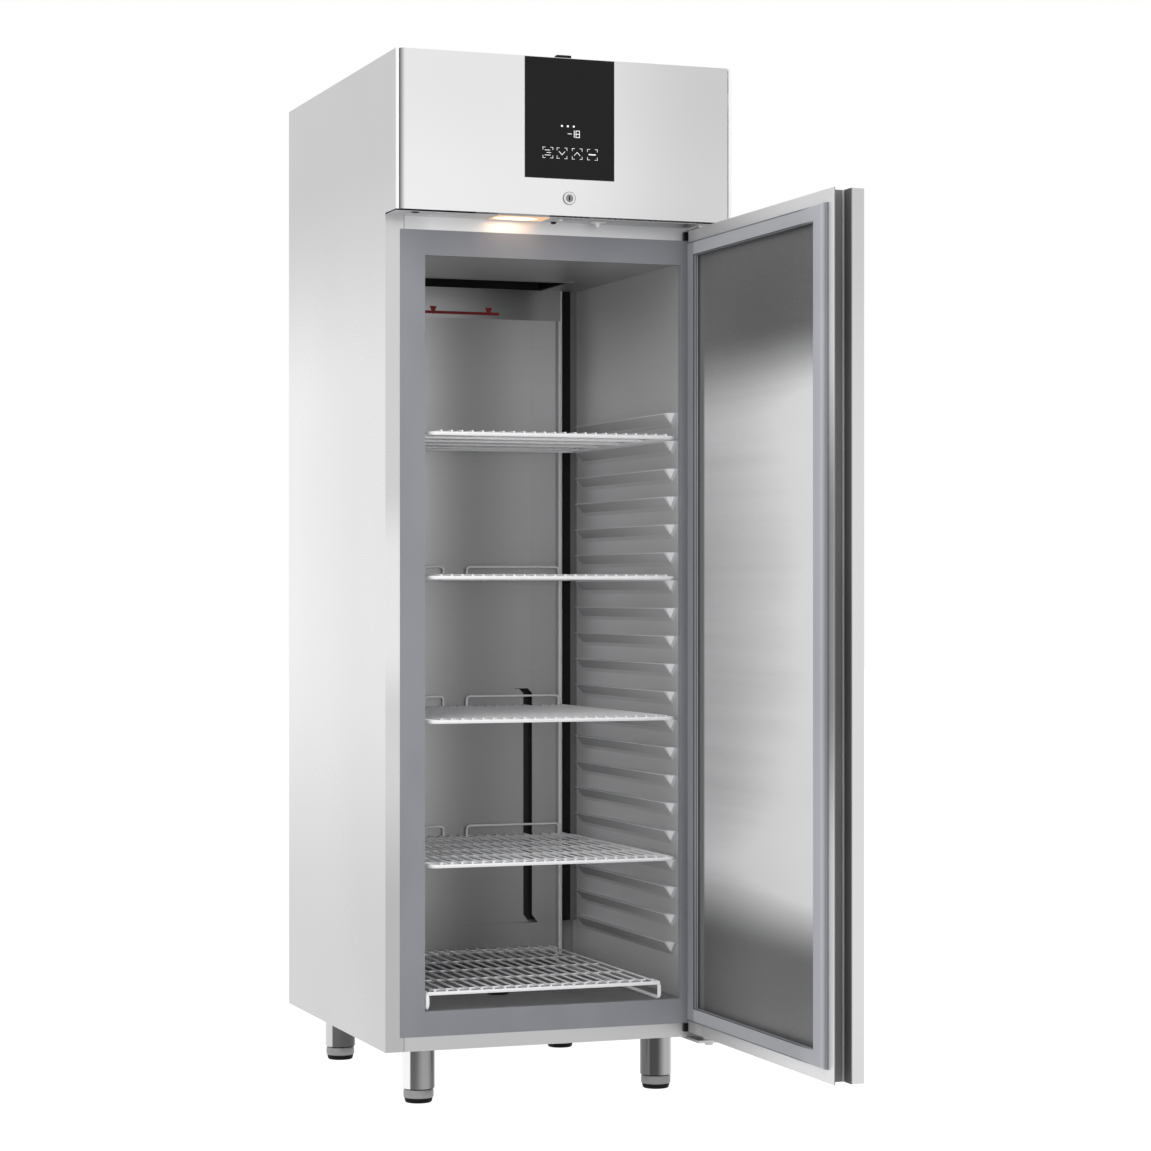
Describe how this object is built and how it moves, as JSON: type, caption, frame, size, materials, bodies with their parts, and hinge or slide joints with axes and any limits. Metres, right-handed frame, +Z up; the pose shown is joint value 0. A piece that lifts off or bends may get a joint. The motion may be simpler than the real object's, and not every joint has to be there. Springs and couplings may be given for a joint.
{
  "type": "upright freezer",
  "caption": "Tall stainless upright freezer with one solid door standing open, a header with control glass, wire shelves and a floor grid.",
  "frame": {"origin": "on the floor, under the middle of the bounding box with the door open at a right angle", "axes": "+Z up, +Y from the front to the back, +X to the right as seen from the front"},
  "size_m": [0.71, 1.476, 2.1],
  "materials": {
    "stainless": "satin brushed",
    "liner_stainless": "satin",
    "foam": "cut foam",
    "foamed_panel": "foam between thin sheets",
    "frame_plastic": "matt",
    "black_plastic": "matt",
    "white_plastic": "matt",
    "lamp_diffuser": "frosted",
    "black_paint": "semi-gloss",
    "coil_metal": "bare",
    "motor_paint": "matt",
    "copper_tube": "drawn",
    "gasket_rubber": "matt",
    "grip_plastic": "matt",
    "control_black": "gloss",
    "board": "lacquered",
    "lock_metal": "polished",
    "foot_steel": "satin",
    "coated_wire": "thin plastic coat, satin"
  },
  "bodies": {
    "cabinet": {"left_side_panel": "stainless", "right_side_panel": "stainless", "rear_panel": "stainless", "base_panel": "stainless", "roof_panel": "stainless", "face_rails": "stainless", "insulation": "foam", "liner_walls": "liner_stainless", "liner_rear": "liner_stainless", "liner_ends": "liner_stainless", "opening_frame": "frame_plastic", "duct_panel": "liner_stainless", "duct_cover": "liner_stainless", "duct_band": "liner_stainless", "corner_strips": "black_plastic", "air_collar": "black_plastic", "floor_plug": "black_plastic", "hinge_plates": "stainless", "hinge_blocks": "black_plastic", "hinge_screws": "stainless", "header_plate": "stainless", "lamp_housing": "white_plastic", "lamp_lens": "lamp_diffuser", "door_switch": "white_plastic", "leg_sleeves": "stainless", "unit_tray": "stainless", "compressor": "black_paint", "condenser_coil": "coil_metal", "condenser_shroud": "black_plastic", "condenser_motor": "motor_paint", "evaporator_box": "foamed_panel", "evaporator_coil": "coil_metal", "evaporator_motor": "motor_paint", "refrigerant_pipes": "copper_tube", "electrical_box": "motor_paint", "front_brace": "stainless", "fascia_clips": "black_plastic"},
    "door": {"door_outer_skin": "stainless", "door_inner_skin": "stainless", "door_insulation": "foam", "door_gasket": "gasket_rubber", "door_grip": "grip_plastic", "door_bushes": "white_plastic"},
    "fascia": {"fascia_panel": "stainless", "control_glass": "control_black", "control_board": "board", "lock_housing": "lock_metal"},
    "lock": {"lock_cylinder": "lock_metal"},
    "switch": {"switch_plunger": "white_plastic"},
    "condenser_fan": {"condenser_fan": "black_plastic"},
    "evaporator_fan": {"evaporator_fan": "black_plastic"},
    "foot_front_left": {"foot_front_left": "foot_steel"},
    "foot_front_right": {"foot_front_right": "foot_steel"},
    "foot_rear_left": {"foot_rear_left": "foot_steel"},
    "foot_rear_right": {"foot_rear_right": "foot_steel"},
    "shelf_top": {"shelf_top": "coated_wire"},
    "shelf_upper": {"shelf_upper": "coated_wire"},
    "shelf_lower": {"shelf_lower": "coated_wire"},
    "shelf_bottom": {"shelf_bottom": "coated_wire"},
    "floor_grid": {"floor_grid": "coated_wire"}
  },
  "joints": [
    {"name": "door_swing", "type": "hinge", "parent": "cabinet", "child": "door", "pos_m": [0.316, -0.069, 0.947], "axis": [0, 0, 1], "range_deg": [-90, 20]},
    {"name": "switch_press", "type": "slide", "parent": "cabinet", "child": "switch", "axis": [0, 0, 1], "range_m": [-0.002, 0.0055]},
    {"name": "fascia_tilt", "type": "hinge", "parent": "cabinet", "child": "fascia", "pos_m": [0, -0.094, 1.78], "axis": [1, 0, 0], "range_deg": [0, 80]},
    {"name": "lock_turn", "type": "hinge", "parent": "fascia", "child": "lock", "pos_m": [0.003, -0.086, 1.811], "axis": [0, 1, 0], "range_deg": [0, 90]},
    {"name": "condenser_fan_spin", "type": "hinge", "parent": "cabinet", "child": "condenser_fan", "pos_m": [0.18, 0.095, 1.915], "axis": [0, 1, 0], "continuous": true},
    {"name": "evaporator_fan_spin", "type": "hinge", "parent": "cabinet", "child": "evaporator_fan", "pos_m": [0, 0.603, 1.902], "axis": [0, 1, 0], "continuous": true},
    {"name": "foot_front_left_screw", "type": "slide", "parent": "cabinet", "child": "foot_front_left", "axis": [0, 0, -1], "range_m": [0, 0.04]},
    {"name": "foot_front_right_screw", "type": "slide", "parent": "cabinet", "child": "foot_front_right", "axis": [0, 0, -1], "range_m": [0, 0.04]},
    {"name": "foot_rear_left_screw", "type": "slide", "parent": "cabinet", "child": "foot_rear_left", "axis": [0, 0, -1], "range_m": [0, 0.04]},
    {"name": "foot_rear_right_screw", "type": "slide", "parent": "cabinet", "child": "foot_rear_right", "axis": [0, 0, -1], "range_m": [0, 0.04]},
    {"name": "shelf_top_slide", "type": "slide", "parent": "cabinet", "child": "shelf_top", "axis": [0, -1, 0], "range_m": [0, 0.42]},
    {"name": "shelf_upper_slide", "type": "slide", "parent": "cabinet", "child": "shelf_upper", "axis": [0, -1, 0], "range_m": [0, 0.42]},
    {"name": "shelf_lower_slide", "type": "slide", "parent": "cabinet", "child": "shelf_lower", "axis": [0, -1, 0], "range_m": [0, 0.42]},
    {"name": "shelf_bottom_slide", "type": "slide", "parent": "cabinet", "child": "shelf_bottom", "axis": [0, -1, 0], "range_m": [0, 0.42]},
    {"name": "floor_grid_slide", "type": "slide", "parent": "cabinet", "child": "floor_grid", "axis": [0, -1, 0], "range_m": [0, 0.42]}
  ],
  "couplings": [
    {"joint": "switch_press", "follows": "door_swing", "m_per_rad": -0.003183}
  ]
}
